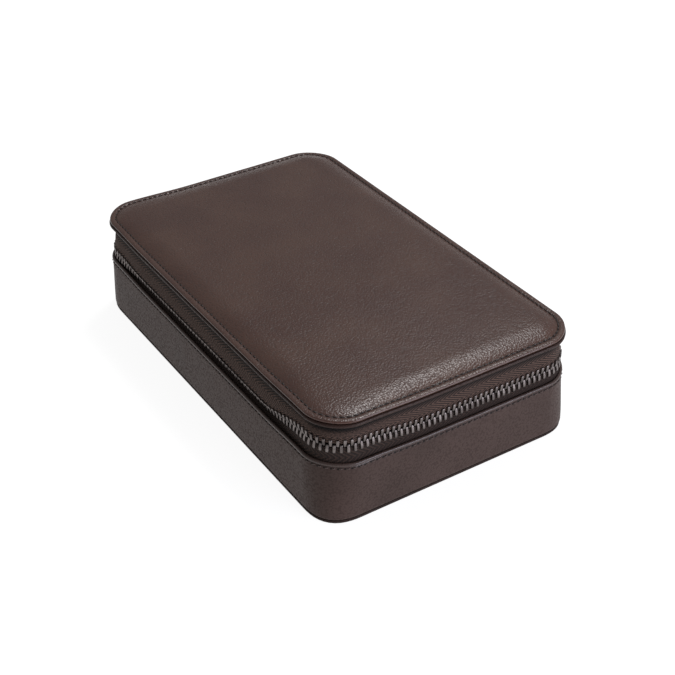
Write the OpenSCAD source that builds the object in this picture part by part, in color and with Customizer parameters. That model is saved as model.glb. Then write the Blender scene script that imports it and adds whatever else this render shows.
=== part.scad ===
// Zip-round leather travel case for four watches. Millimetres, +Z up.
// X runs along the long side, the zip opens on -Y and the lid folds back over +Y.
// The origin is the middle of the bottom panel's underside.

/* [Case] */
// Length over the rim
case_l = 212; // [180:1:240]
// Width over the rim
case_w = 132; // [116:1:160]
// Corner radius of the rim, seen from above
corner_r = 18; // [16:0.5:24]

/* [Base shell] */
// Height of the base's leather rim
rim_h = 29.5; // [27:0.5:36]
// Thickness of the wall leather
wall_leather_t = 1.3; // [1:0.1:1.6]
// How far the rolled rim stands out from the wall leather
rim_bead_proud = 0.3; // [0.1:0.05:0.4]
// Height of the rolled rim
rim_bead_h = 1.6; // [1.2:0.1:2.4]
// Thickness of the bottom leather panel
bottom_t = 1.5; // [1:0.1:2.5]
// How far the bottom panel's edge lies inside the rim
bottom_inset = 1; // [0.5:0.1:1.3]
// Thickness of the stiff boards in the floor and the outer wall
board_t = 2; // [1.5:0.1:2.2]

/* [Watch tray] */
// Thickness of the tray wall that stands up inside the zip
tray_wall_t = 2; // [1.5:0.1:3]
// Thickness of the suede lining
lining_t = 0.6; // [0.4:0.1:1]
// Thickness of the foam pad under the floor lining
floor_pad_t = 2; // [1:0.5:4]
// Thickness of the dividers
divider_t = 3; // [2:0.5:5]
// Height of the dividers above the floor lining
divider_h = 33; // [24:1:36]

/* [Watch cushions] */
// Length of a cushion, along X
cushion_l = 78; // [64:1:80]
// Width of a cushion, along Y
cushion_w = 50; // [40:1:50]
// Height of a cushion
cushion_h = 25; // [20:1:28]
// Rise of a cushion's crown over its length
cushion_crown = 4; // [1:0.5:6]
// Corner radius of a cushion seen from above
cushion_corner_r = 9; // [5:0.5:14]
// Corner radius of a cushion seen from its side
cushion_side_r = 8; // [4:0.5:9]
// Thickness of a cushion's suede cover
cushion_cover_t = 1.2; // [0.6:0.1:2]

/* [Zip] */
// Width of the closed row of teeth
chain_w = 6.2; // [5.6:0.1:7.2]
// Distance from one tooth to the next in one row
tooth_pitch = 2.75; // [2.65:0.05:3.2]
// Width of one tooth along the row
tooth_w = 1.05; // [0.8:0.05:1.1]
// Thickness of a tooth through the tape
tooth_t = 2.4; // [2:0.1:2.6]
// How far the heads of the two rows overlap
tooth_overlap = 0.8; // [0.4:0.1:1]
// Depth of the slot in each tooth that grips the tape
tooth_grip = 2; // [1.5:0.1:2.2]
// Thickness of the tape
tape_t = 0.6; // [0.4:0.05:0.8]
// Depth of the tape's middle line inside the rim
chain_inset = 2.8; // [2.7:0.05:3]
// Height of lower tape between the rim and the teeth
lower_tape_show = 2.6; // [2.5:0.1:5]
// Height of upper tape between the teeth and the lid
upper_tape_show = 9; // [7:0.1:11]
// Length of tape sewn in behind the wall leather
tape_margin = 8; // [5:0.5:12]
// Half the gap between the two ends of the zip, along the hinge side
zip_end_x = 52; // [40:1:60]

/* [Slider] */
// Length of the slider
slider_l = 11; // [9:0.5:13]
// Thickness of each slider plate
slider_plate_t = 0.8; // [0.6:0.05:0.9]
// Width of the slider's post between the two rows
slider_post_w = 0.6; // [0.4:0.05:0.65]
// Diameter of the pull tab's pin
pull_pin_d = 1.2; // [1:0.1:1.5]
// Wall around the pin in the pull tab's eye
pull_eye_t = 0.7; // [0.6:0.05:1]
// Length of the pull tab from its pin
pull_l = 26; // [18:1:30]
// Width of the pull tab
pull_w = 7; // [5:0.5:8]
// Thickness of the pull tab
pull_t = 1.2; // [0.8:0.1:1.6]

/* [Hinge] */
// Thickness of the leather spine
spine_t = 1.1; // [0.8:0.1:1.3]
// How far the lid's turning axis lies outside the rim
hinge_out = 0.8; // [0.4:0.1:1.5]

/* [Lid] */
// Depth of the lid's edge inside the rim
lid_inset = 0.95; // [0.7:0.05:1.2]
// Height of the binding under the lid's edge
binding_h = 1.7; // [1.4:0.1:2.4]
// Height of the groove between the binding and the lid leather
groove_h = 0.25; // [0.1:0.05:0.5]
// Height of the lid's rolled leather edge, up to the stitch line
lid_edge_h = 1.4; // [1.3:0.1:2.2]
// Rise of the padded top above the stitch line
lid_crown = 2.4; // [1:0.1:4]
// Width over which the padding rises
crown_w = 10; // [6:0.5:12]
// Thickness of the lid leather
lid_leather_t = 1.1; // [0.8:0.1:1.2]
// Thickness of the lid board
lid_board_t = 1.8; // [1.2:0.1:2.2]
// Thickness of the foam behind the lid lining
lid_pad_t = 1.5; // [1:0.1:2.5]

/* [Stitching] */
// Distance from one stitch to the next
stitch_pitch = 2.9; // [2.6:0.1:4.5]
// Length of one stitch
stitch_l = 2; // [1.6:0.1:2.2]
// Width of the thread
thread_w = 0.5; // [0.3:0.05:0.7]
// Height of the thread above the leather
thread_h = 0.3; // [0.2:0.05:0.4]
// Distance of the base's stitch line under the rim
rim_stitch_drop = 2.4; // [2:0.1:4]
// Distance of the lid's stitch line inside the lid's edge
lid_stitch_in = 2.7; // [2.4:0.1:4]

/* [Hidden] */

leather_colour = [0.27, 0.2, 0.18];
tape_colour = [0.25, 0.18, 0.16];
thread_colour = [0.14, 0.1, 0.09];
metal_colour = [0.42, 0.41, 0.4];
board_colour = [0.55, 0.48, 0.4];
suede_colour = [0.62, 0.53, 0.43];
foam_colour = [0.85, 0.83, 0.76];

// Gap left between pieces that are glued or sewn together
glue_gap = 0.05;
// Gap left between pieces that slide or lift past each other
run_gap = 0.15;
// Gap between the lid's lining and the tray wall that the lid rests over
rest_gap = 0.3;
// Overlap that joins two halves of one solid
join = 0.01;
// Extra length on a tool that cuts right through
through = 1;
// How far the binding lies inside the lid's edge, the tape's margin inside the
// chain's middle line and the lid's lining inside the lid board
binding_step = 0.15;
tape_step = 0.2;
lining_step = 0.7;
// Height over which the spine and the tapes bend in behind what they are sewn to
bend_h = 1.5;
// Radius of the lid's rolled edge and width of the flat line that its stitches lie on
lid_roll_r = 1.2;
stitch_floor_w = thread_w + 0.5;
// Shares of a tooth: its head's thickness and how far its taper reaches
head_share = 0.62;
taper_share = 0.45;

// Insets are distances inward from the rim's outermost line
wall_in = rim_bead_proud;
wall_back = wall_in + wall_leather_t;
margin_in = wall_back + glue_gap;
margin_t = tape_t;
wall_board_in = wall_back + glue_gap;
wall_board_notch = margin_in + margin_t + glue_gap;
wall_board_back = wall_board_notch + board_t;
chain_front = chain_inset - tooth_t / 2;
chain_back = chain_inset + tooth_t / 2;
slider_back = chain_back + run_gap + slider_plate_t;
slider_front = chain_front - run_gap - slider_plate_t;
tray_wall_in = max(slider_back, wall_board_back) + 2 * rest_gap;
tray_lining_in = tray_wall_in + tray_wall_t + glue_gap;
tray_inside = tray_lining_in + lining_t;
binding_in = lid_inset + binding_step;
lid_margin_in = chain_inset + tape_step;
lid_board_in = lid_margin_in + tape_t + glue_gap;
lid_lining_in = lid_board_in + lining_step;

// Heights
floor_board_z = bottom_t + glue_gap;
floor_top = floor_board_z + board_t;
floor_pad_z = floor_top + glue_gap;
floor_lining_z = floor_pad_z + floor_pad_t + glue_gap;
tray_floor = floor_lining_z + lining_t;
chain_low = rim_h + lower_tape_show;
chain_mid = chain_low + chain_w / 2;
chain_top = chain_low + chain_w;
binding_z = chain_top + upper_tape_show;
lid_leather_z = binding_z + binding_h + groove_h;
stitch_z = lid_leather_z + lid_edge_h;
lid_top = stitch_z + lid_crown;
lid_board_z = lid_leather_z - glue_gap - lid_board_t;
lid_pad_z = lid_board_z - glue_gap - lid_pad_t;
lid_lining_z = lid_pad_z - glue_gap - lining_t;
tray_top = lid_lining_z - rest_gap;
tooth_h = (chain_w + tooth_overlap) / 2;
end_row_gap = slider_post_w + 2 * run_gap;
rim_stitch_z = rim_h - rim_stitch_drop;

// Turning axis of the lid
hinge_y = case_w / 2 + hinge_out;

// Lid: the stitch line and the rise of the padding, as insets
stitch_line_in = lid_inset + lid_stitch_in;
crown_start = stitch_line_in + stitch_floor_w / 2;
crown_end = crown_start + crown_w;

// The zip's middle line: straight half-lengths, corner radius and run lengths
path_r = corner_r - chain_inset;
side_x = case_l / 2 - corner_r;
side_y = case_w / 2 - corner_r;
arc_len = PI * path_r / 2;
end_len = side_x - zip_end_x;
runs = [end_len, arc_len, 2 * side_y, arc_len, 2 * side_x, arc_len, 2 * side_y, arc_len, end_len];
function run_start(i) = i == 0 ? 0 : run_start(i - 1) + runs[i - 1];
path_len = run_start(9);
tooth_count = floor(path_len / tooth_pitch);
tooth_step = path_len / tooth_count;

// Where a run starts: position and heading, walked clockwise from the hinge side's +X end of the zip
path_corners = [[side_x, side_y], [side_x, -side_y], [-side_x, -side_y], [-side_x, side_y]];
path_starts = [
    [zip_end_x, side_y + path_r], [side_x + path_r, side_y], [side_x, -side_y - path_r],
    [-side_x - path_r, -side_y], [-side_x, side_y + path_r]
];

// [x, y, heading] at a distance s along a path of the given start, straight runs and corner radius
function run_at(s, i = 0) = i == 8 || s <= run_start(i + 1) ? i : run_at(s, i + 1);
function arc_point(corner, heading, share, r) =
    let (a = heading - 90 * share)
    [corner[0] - r * sin(a), corner[1] + r * cos(a), a];
function path_at(s) =
    let (i = run_at(s), d = s - run_start(i), heading = -90 * floor((i + 1) / 2), k = floor(i / 2))
    i % 2 == 0
        ? [path_starts[k][0] + d * cos(heading), path_starts[k][1] + d * sin(heading), heading]
        : arc_point(path_corners[k], -90 * k, d / arc_len, path_r);

// Shapes shared by many pieces

// The case's outline, this far inside the rim
module outline(inset) {
    r = corner_r - inset;
    square([case_l - 2 * inset, case_w - 2 * corner_r], center = true);
    square([case_l - 2 * corner_r, case_w - 2 * inset], center = true);
    for (x = [-1, 1], y = [-1, 1])
        translate([x * side_x, y * side_y]) circle(r, $fn = 64);
}

// A plate of the case's outline
module plate(inset, z, t) {
    translate([0, 0, z]) linear_extrude(t) outline(inset);
}

// An upright wall that follows the outline
module wall(inset, t, z, h) {
    translate([0, 0, z]) linear_extrude(h) difference() {
        outline(inset);
        outline(inset + t);
    }
}

// One corner of a profile drawn with x as its inset and y as its height
module corner_run(quarter) {
    flip = quarter == 0 ? [1, 1] : quarter == 1 ? [-1, 1] : quarter == 2 ? [-1, -1] : [1, -1];
    translate([flip[0] * side_x, flip[1] * side_y, 0]) rotate([0, 0, 90 * quarter])
        rotate_extrude(angle = 90, $fn = 64) translate([corner_r, 0]) mirror([1, 0]) children();
}

// One straight stretch of such a profile along a side, from one coordinate to another
module long_run(side, from, to) {
    translate([from, side * case_w / 2, 0]) rotate([90, 0, 90]) linear_extrude(to - from)
        mirror([side > 0 ? 1 : 0, 0]) children();
}

module short_run(side) {
    translate([side * case_l / 2, side_y, 0]) rotate([90, 0, 0]) linear_extrude(2 * side_y)
        mirror([side > 0 ? 1 : 0, 0]) children();
}

// A profile that runs right round the case
module ring_run() {
    for (quarter = [0:3]) corner_run(quarter) children();
    for (side = [-1, 1]) {
        long_run(side, -side_x, side_x) children();
        short_run(side) children();
    }
}

// A profile that runs round the three zipped sides, up to the ends of the hinge side's corners
module zip_run() {
    for (quarter = [0:3]) corner_run(quarter) children();
    long_run(-1, -side_x, side_x) children();
    for (side = [-1, 1]) short_run(side) children();
}

// Base shell

module bottom_panel() {
    color(leather_colour) plate(bottom_inset, 0, bottom_t);
}

module wall_leather_profile() {
    low = bottom_t + wall_leather_t;
    translate([wall_in, low]) square([wall_leather_t, rim_h - rim_bead_h / 2 - low]);
    translate([wall_back, low]) intersection() {
        circle(wall_leather_t, $fn = 48);
        translate([-wall_leather_t, -wall_leather_t]) square(wall_leather_t);
    }
    translate([rim_bead_h / 2, rim_h - rim_bead_h / 2]) circle(rim_bead_h / 2, $fn = 48);
}

module wall_leather() {
    color(leather_colour) ring_run() wall_leather_profile();
}

module floor_board() {
    color(board_colour) plate(wall_board_in, floor_board_z, board_t);
}

// The board's upper part is thinned for the tape that is sewn in front of it
module wall_board() {
    low = floor_top + glue_gap;
    notch = rim_h - tape_margin - glue_gap;
    color(board_colour) {
        wall(wall_board_in, wall_board_back - wall_board_in, low, notch - low);
        wall(wall_board_notch, board_t, notch - join, rim_h - rim_bead_h / 2 - notch + join);
    }
}

// Watch tray

module tray_wall() {
    color(board_colour) wall(tray_wall_in, tray_wall_t, floor_pad_z, tray_top - lining_t - floor_pad_z);
}

module tray_lining() {
    color(suede_colour) {
        wall(tray_lining_in, lining_t, floor_pad_z, tray_top - floor_pad_z - join);
        wall(tray_wall_in, tray_inside - tray_wall_in, tray_top - lining_t + glue_gap, lining_t - glue_gap);
    }
}

module floor_pad() {
    color(foam_colour) plate(tray_inside + glue_gap, floor_pad_z, floor_pad_t);
}

module floor_lining() {
    color(suede_colour) plate(tray_inside + glue_gap, floor_lining_z, lining_t);
}

cell_l = case_l / 2 - tray_inside - divider_t / 2;
cell_w = case_w / 2 - tray_inside - divider_t / 2;

// The two dividers slot into each other, each cut half way
module divider_long() {
    span = case_l - 2 * tray_inside - 2 * run_gap;
    color(suede_colour) translate([0, 0, tray_floor + glue_gap]) difference() {
        translate([-span / 2, -divider_t / 2, 0]) cube([span, divider_t, divider_h]);
        translate([-divider_t / 2 - run_gap, -divider_t, divider_h / 2])
            cube([divider_t + 2 * run_gap, 2 * divider_t, divider_h]);
    }
}

module divider_cross() {
    span = case_w - 2 * tray_inside - 2 * run_gap;
    color(suede_colour) translate([0, 0, tray_floor + glue_gap]) difference() {
        translate([-divider_t / 2, -span / 2, 0]) cube([divider_t, span, divider_h]);
        translate([-divider_t, -divider_t / 2 - run_gap, -through])
            cube([2 * divider_t, divider_t + 2 * run_gap, through + divider_h / 2 - run_gap]);
    }
}

// Watch cushions: crowned along their length, round at the corners

module rounded_square(l, w, r) {
    square([l - 2 * r, w], center = true);
    square([l, w - 2 * r], center = true);
    for (x = [-1, 1], y = [-1, 1]) translate([x * (l / 2 - r), y * (w / 2 - r)]) circle(r, $fn = 48);
}

module cushion_body(skin) {
    l = cushion_l - 2 * skin;
    w = cushion_w - 2 * skin;
    h = cushion_h - 2 * skin;
    crown_r = (pow(cushion_l / 2, 2) + pow(cushion_crown, 2)) / (2 * cushion_crown) - skin;
    translate([0, 0, skin]) intersection() {
        linear_extrude(h) rounded_square(l, w, cushion_corner_r - skin);
        translate([0, w / 2, h / 2]) rotate([90, 0, 0]) linear_extrude(w) intersection() {
            rounded_square(l, h, cushion_side_r - skin);
            translate([0, h / 2 - crown_r]) circle(crown_r, $fn = 180);
        }
    }
}

module cushion_place(n) {
    x = (n % 2 == 1 ? -1 : 1) * (divider_t / 2 + cell_l / 2);
    y = (n <= 2 ? -1 : 1) * (divider_t / 2 + cell_w / 2);
    translate([x, y, tray_floor + run_gap]) children();
}

module cushion_cover(n) {
    color(suede_colour) cushion_place(n) difference() {
        cushion_body(0);
        cushion_body(cushion_cover_t);
    }
}

module cushion_foam(n) {
    color(foam_colour) cushion_place(n) cushion_body(cushion_cover_t + glue_gap);
}

// Zip

// The lower tape: sewn behind the wall leather, then out to the teeth
module lower_tape_profile() {
    low = rim_h - tape_margin;
    rim = rim_h - rim_bead_h / 2;
    bend = rim_h + bend_h;
    top = chain_low + tooth_grip;
    outer = chain_inset - tape_t / 2;
    polygon([
        [margin_in, low], [margin_in, rim], [outer, bend], [outer, top],
        [outer + tape_t, top], [outer + tape_t, bend],
        [margin_in + margin_t, rim], [margin_in + margin_t, low]
    ]);
}

module upper_tape_profile() {
    low = chain_top - tooth_grip;
    bend = binding_z - bend_h;
    top = binding_z + binding_h;
    outer = chain_inset - tape_t / 2;
    polygon([
        [outer, low], [outer, bend], [lid_margin_in, binding_z], [lid_margin_in, top],
        [lid_margin_in + tape_t, top], [lid_margin_in + tape_t, binding_z],
        [outer + tape_t, bend], [outer + tape_t, low]
    ]);
}

module zip_tape_lower() {
    color(tape_colour) {
        zip_run() lower_tape_profile();
        long_run(1, zip_end_x, side_x) lower_tape_profile();
        long_run(1, -side_x, -zip_end_x) lower_tape_profile();
    }
}

module zip_tape_upper() {
    color(tape_colour) zip_run() upper_tape_profile();
}

// The upper tape's two ends on the hinge side bend with the spine
module zip_tape_end(side) {
    inner = zip_end_x;
    outer = side_x - run_gap;
    color(tape_colour) long_run(1, min(side * inner, side * outer), max(side * inner, side * outer))
        upper_tape_profile();
}

// One tooth, its head down at z = 0 and its slot for the tape at the top. x is across the tape.
module tooth(h) {
    head_w = tooth_t * head_share;
    shoulder = h * taper_share;
    slot_w = tape_t + 2 * glue_gap;
    translate([0, tooth_w / 2, 0]) rotate([90, 0, 0]) linear_extrude(tooth_w) polygon([
        [-head_w / 2, 0], [head_w / 2, 0], [tooth_t / 2, shoulder], [tooth_t / 2, h],
        [slot_w / 2, h], [slot_w / 2, h - tooth_grip - glue_gap], [-slot_w / 2, h - tooth_grip - glue_gap],
        [-slot_w / 2, h], [-tooth_t / 2, h], [-tooth_t / 2, shoulder]
    ]);
}

// A tooth at a distance s along the zip; the end rows leave room for the slider's post
module tooth_at(s, upper) {
    p = path_at(s);
    at_end = s < end_len || s > path_len - end_len;
    h = at_end ? (chain_w - end_row_gap) / 2 : tooth_h;
    translate([p[0], p[1], upper ? chain_top - h : chain_low + h]) rotate([0, 0, p[2] + 90])
        mirror([0, 0, upper ? 0 : 1]) tooth(h);
}

// The last few tooth places at each end hold the stops
stop_teeth = 2;
function lower_s(i) = (i + 0.25) * tooth_step;
function upper_s(i) = (i + 0.75) * tooth_step;
end_clear = tooth_w / 2 + run_gap;
function is_end(s) = s < end_len - end_clear || s > path_len - end_len + end_clear;
function is_lid(s) = s > end_len + end_clear && s < path_len - end_len - end_clear;

module zip_teeth_lower() {
    color(metal_colour) for (i = [stop_teeth:tooth_count - 1 - stop_teeth]) tooth_at(lower_s(i), false);
}

module zip_teeth_upper() {
    color(metal_colour) for (i = [stop_teeth:tooth_count - 1 - stop_teeth])
        if (is_lid(upper_s(i))) tooth_at(upper_s(i), true);
}

module zip_teeth_ends() {
    color(metal_colour) for (i = [stop_teeth:tooth_count - 1 - stop_teeth])
        if (is_end(upper_s(i))) tooth_at(upper_s(i), true);
}

stop_l = 2.4;

module stop_block(x, z, h, slot_low, slot_high) {
    slot_w = tape_t + 2 * glue_gap;
    y = case_w / 2 - chain_inset;
    difference() {
        translate([x - stop_l / 2, y - tooth_t / 2, z]) cube([stop_l, tooth_t, h]);
        if (slot_low > 0) translate([x - stop_l, y - slot_w / 2, z - through])
            cube([2 * stop_l, slot_w, slot_low + through]);
        if (slot_high > 0) translate([x - stop_l, y - slot_w / 2, z + h - slot_high])
            cube([2 * stop_l, slot_w, slot_high + through]);
    }
}

module zip_top_stops() {
    h = (chain_w - end_row_gap) / 2;
    x = -zip_end_x - stop_l / 2 - run_gap;
    grip = tooth_grip + glue_gap;
    color(metal_colour) {
        stop_block(x, chain_low, h, grip, 0);
        stop_block(x, chain_top - h, h, 0, grip);
    }
}

module zip_bottom_stop() {
    color(metal_colour) stop_block(
        zip_end_x + stop_l / 2 + run_gap, chain_low, chain_w, tooth_grip + glue_gap, tooth_grip + glue_gap
    );
}

// Slider: two plates round the teeth, flanged to the tape and joined by the post
slider_x = -zip_end_x - stop_l - 2 * run_gap - slider_l / 2;
slider_travel = end_len - stop_l - 3 * run_gap - slider_l;
slider_low = chain_low - run_gap - slider_plate_t;
slider_high = chain_top + run_gap + slider_plate_t;
pull_eye_r = pull_pin_d / 2 + run_gap / 2 + pull_eye_t;
pin_y = case_w / 2 - slider_front + pull_eye_r + run_gap;
ear_t = 0.9;
eye_h = 2.6;
post_l = 3;
pin_fit = 0.02;
ear_gap = eye_h + 2 * run_gap;

module slider_body() {
    y_front = case_w / 2 - slider_front;
    y_back = case_w / 2 - slider_back;
    depth = y_front - y_back;
    y_chain = case_w / 2 - chain_inset;
    slot_w = tape_t + 2 * run_gap;
    ear_h = ear_gap + 2 * ear_t;
    color(metal_colour) translate([slider_x, 0, 0]) {
        difference() {
            translate([-slider_l / 2, y_back, slider_low])
                cube([slider_l, depth, slider_high - slider_low]);
            translate([-slider_l, y_chain - tooth_t / 2 - run_gap, chain_low - run_gap])
                cube([2 * slider_l, tooth_t + 2 * run_gap, chain_w + 2 * run_gap]);
            translate([-slider_l, y_chain - slot_w / 2, slider_low - through])
                cube([2 * slider_l, slot_w, slider_high - slider_low + 2 * through]);
        }
        translate([slider_l / 2 - post_l, y_back + slider_plate_t / 2, chain_mid - slider_post_w / 2])
            cube([post_l, depth - slider_plate_t, slider_post_w]);
        difference() {
            for (z = [chain_mid - ear_h / 2, chain_mid + ear_gap / 2]) {
                translate([0, pin_y, z]) cylinder(r = pull_eye_r, h = ear_t, $fn = 48);
                translate([-pull_eye_r, y_front - slider_plate_t / 2, z])
                    cube([2 * pull_eye_r, pin_y - y_front + slider_plate_t / 2, ear_t]);
            }
            translate([0, pin_y, chain_mid - ear_h])
                cylinder(d = pull_pin_d + pin_fit, h = 2 * ear_h, $fn = 48);
        }
    }
}

module slider_pin() {
    h = ear_gap + 2 * ear_t;
    color(metal_colour) translate([slider_x, pin_y, chain_mid - h / 2])
        cylinder(d = pull_pin_d, h = h, $fn = 48);
}

// The pull tab lies along the zip, pointing to the middle of the hinge side
module pull_tab() {
    end_r = pull_w / 2;
    hole_r = pull_w / 4;
    neck_l = pull_eye_r + ear_t + run_gap + 1;
    color(metal_colour) translate([slider_x, pin_y, chain_mid]) difference() {
        union() {
            translate([0, 0, -eye_h / 2]) cylinder(r = pull_eye_r, h = eye_h, $fn = 48);
            translate([0, -pull_t / 2, -eye_h / 2]) cube([neck_l + join, pull_t, eye_h]);
            translate([neck_l, -pull_t / 2, -pull_w / 2]) cube([pull_l - neck_l - end_r, pull_t, pull_w]);
            translate([pull_l - end_r, pull_t / 2, 0]) rotate([90, 0, 0])
                cylinder(r = end_r, h = pull_t, $fn = 48);
        }
        translate([0, 0, -eye_h]) cylinder(d = pull_pin_d + run_gap, h = 2 * eye_h, $fn = 48);
        translate([pull_l - end_r, pull_t, 0]) rotate([90, 0, 0])
            cylinder(r = hole_r, h = 2 * pull_t, $fn = 48);
    }
}

// Hinge: one leather strip, thinned where it is sewn in behind the rim and the binding
module spine_profile() {
    low = rim_h - tape_margin;
    rim = rim_h - rim_bead_h / 2;
    bends = [rim_h + bend_h, binding_z - bend_h];
    top = binding_z + binding_h;
    back = chain_inset + tape_t / 2;
    outer = back - spine_t;
    polygon([
        [margin_in, low], [margin_in, rim], [outer, bends[0]], [outer, bends[1]],
        [lid_margin_in, binding_z], [lid_margin_in, top], [lid_margin_in + tape_t, top],
        [lid_margin_in + tape_t, binding_z], [back, bends[1]], [back, bends[0]],
        [margin_in + margin_t, rim], [margin_in + margin_t, low]
    ]);
}

module hinge_spine() {
    color(leather_colour) long_run(1, -zip_end_x + run_gap, zip_end_x - run_gap) spine_profile();
}

// Lid

// The padded rise over the lid, this far under the leather's surface, down to z
module padding(cut, z) {
    low = stitch_z - cut;
    rise = [for (k = [0:6]) [crown_start + crown_w * k / 6, low + lid_crown * (1 - cos(30 * k)) / 2]];
    ring_run() polygon(concat([[crown_start, z]], rise, [[crown_end, z]]));
    plate(crown_end, z, lid_top - cut - z);
}

// The leather's turned edge: a rolled corner and the flat line of the stitches
module lid_edge_profile() {
    roll = stitch_z - lid_roll_r;
    translate([lid_inset, lid_leather_z]) square([lid_roll_r, roll - lid_leather_z]);
    translate([lid_inset + lid_roll_r, roll]) intersection() {
        circle(lid_roll_r, $fn = 48);
        translate([-lid_roll_r, 0]) square(lid_roll_r);
    }
    translate([lid_inset + lid_roll_r, lid_leather_z])
        square([crown_start - lid_inset - lid_roll_r + join, lid_edge_h]);
}

module lid_leather() {
    color(leather_colour) {
        ring_run() lid_edge_profile();
        difference() {
            padding(0, lid_leather_z);
            padding(lid_leather_t, lid_leather_z - through);
        }
    }
}

module lid_foam() {
    color(foam_colour) padding(lid_leather_t + glue_gap, lid_leather_z);
}

module lid_board() {
    color(board_colour) plate(lid_board_in, lid_board_z, lid_board_t);
}

module lid_binding_profile() {
    r = binding_h / 2;
    back = lid_margin_in - glue_gap;
    translate([binding_in + r, binding_z + r]) circle(r, $fn = 48);
    translate([binding_in + r, binding_z]) square([back - binding_in - r, binding_h]);
}

module lid_binding() {
    color(leather_colour) ring_run() lid_binding_profile();
}

module lid_lining_pad() {
    color(foam_colour) plate(lid_lining_in, lid_pad_z, lid_pad_t);
}

module lid_lining() {
    color(suede_colour) plate(lid_lining_in, lid_lining_z, lining_t);
}

// Stitching: separate stitches all the way round, spaced evenly

// [x, y, heading] at a distance s round the whole outline at an inset, from the hinge side's -X end
function round_at(s, inset) =
    let (
        r = corner_r - inset, a = PI * r / 2,
        lens = [for (pair = [0:3], k = [0, 1]) k == 1 ? a : 2 * (pair % 2 == 0 ? side_x : side_y)],
        ends = [for (i = 0, t = 0; i < 8; t = t + lens[i], i = i + 1) t],
        i = max([for (k = [0:7]) s >= ends[k] ? k : 0]),
        d = s - ends[i], k = floor(i / 2), heading = -90 * k,
        starts = [
            [-side_x, side_y + r], [side_x + r, side_y], [side_x, -side_y - r], [-side_x - r, -side_y]
        ]
    )
    i % 2 == 0
        ? [starts[k][0] + d * cos(heading), starts[k][1] + d * sin(heading), heading]
        : arc_point(path_corners[k], heading, d / a, r);

module stitches(inset, z, size) {
    length = 4 * (side_x + side_y) + 2 * PI * (corner_r - inset);
    count = round(length / stitch_pitch);
    for (i = [0:count - 1]) {
        p = round_at((i + 0.5) * length / count, inset);
        translate([p[0], p[1], z]) rotate([0, 0, p[2]]) translate([-size[0] / 2, 0, 0]) cube(size);
    }
}

module wall_stitching() {
    color(thread_colour) stitches(wall_in, rim_stitch_z - thread_w / 2, [stitch_l, thread_h, thread_w]);
}

module lid_stitching() {
    color(thread_colour) stitches(stitch_line_in + thread_w / 2, stitch_z, [stitch_l, thread_w, thread_h]);
}

// Where the moving pieces turn, and how far the slider and the cushions can go
echo(lid_axis = [0, hinge_y, chain_mid], pull_axis = [slider_x, pin_y, chain_mid]);
echo(slider_travel = slider_travel, cushion_headroom = lid_lining_z - tray_floor - run_gap - cushion_h);

bottom_panel();
wall_leather();
wall_stitching();
floor_board();
wall_board();
tray_wall();
tray_lining();
floor_pad();
floor_lining();
divider_long();
divider_cross();
cushion_cover(1);  // cushion_cover_1
cushion_cover(2);  // cushion_cover_2
cushion_cover(3);  // cushion_cover_3
cushion_cover(4);  // cushion_cover_4
cushion_foam(1);  // cushion_foam_1
cushion_foam(2);  // cushion_foam_2
cushion_foam(3);  // cushion_foam_3
cushion_foam(4);  // cushion_foam_4
zip_tape_lower();
zip_teeth_lower();
zip_teeth_ends();
zip_tape_end(-1);  // zip_tape_end_left
zip_tape_end(1);  // zip_tape_end_right
zip_top_stops();
zip_bottom_stop();
hinge_spine();
slider_body();
slider_pin();
pull_tab();
lid_leather();
lid_stitching();
lid_foam();
lid_board();
lid_binding();
lid_lining_pad();
lid_lining();
zip_tape_upper();
zip_teeth_upper();
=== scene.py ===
"""A zip-round leather travel case for four watches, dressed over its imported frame.

Metres. +X runs along the long side, the zip opens on -Y and the lid turns over +Y.
The case lies closed, its front corner towards the camera, on a pale floor in soft light.
"""
from math import ceil, cos, hypot, pi, radians, sin

import bmesh
import bpy
from mathutils import Matrix, Vector, noise


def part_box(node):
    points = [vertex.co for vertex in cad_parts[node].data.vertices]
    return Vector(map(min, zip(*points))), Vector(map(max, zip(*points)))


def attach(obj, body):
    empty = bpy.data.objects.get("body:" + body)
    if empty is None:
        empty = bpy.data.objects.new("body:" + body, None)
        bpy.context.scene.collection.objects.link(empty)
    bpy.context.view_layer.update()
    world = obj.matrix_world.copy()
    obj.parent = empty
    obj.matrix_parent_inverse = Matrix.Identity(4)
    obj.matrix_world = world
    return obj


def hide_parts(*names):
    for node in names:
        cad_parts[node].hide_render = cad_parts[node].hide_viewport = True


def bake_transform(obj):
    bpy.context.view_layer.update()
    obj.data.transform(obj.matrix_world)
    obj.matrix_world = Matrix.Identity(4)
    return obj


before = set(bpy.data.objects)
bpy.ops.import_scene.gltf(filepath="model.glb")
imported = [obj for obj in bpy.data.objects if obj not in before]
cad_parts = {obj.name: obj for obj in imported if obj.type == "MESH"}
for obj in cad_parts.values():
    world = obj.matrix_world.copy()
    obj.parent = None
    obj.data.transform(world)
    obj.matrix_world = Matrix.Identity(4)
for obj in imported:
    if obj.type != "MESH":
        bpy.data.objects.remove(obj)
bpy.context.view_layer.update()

MM = 0.001

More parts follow.
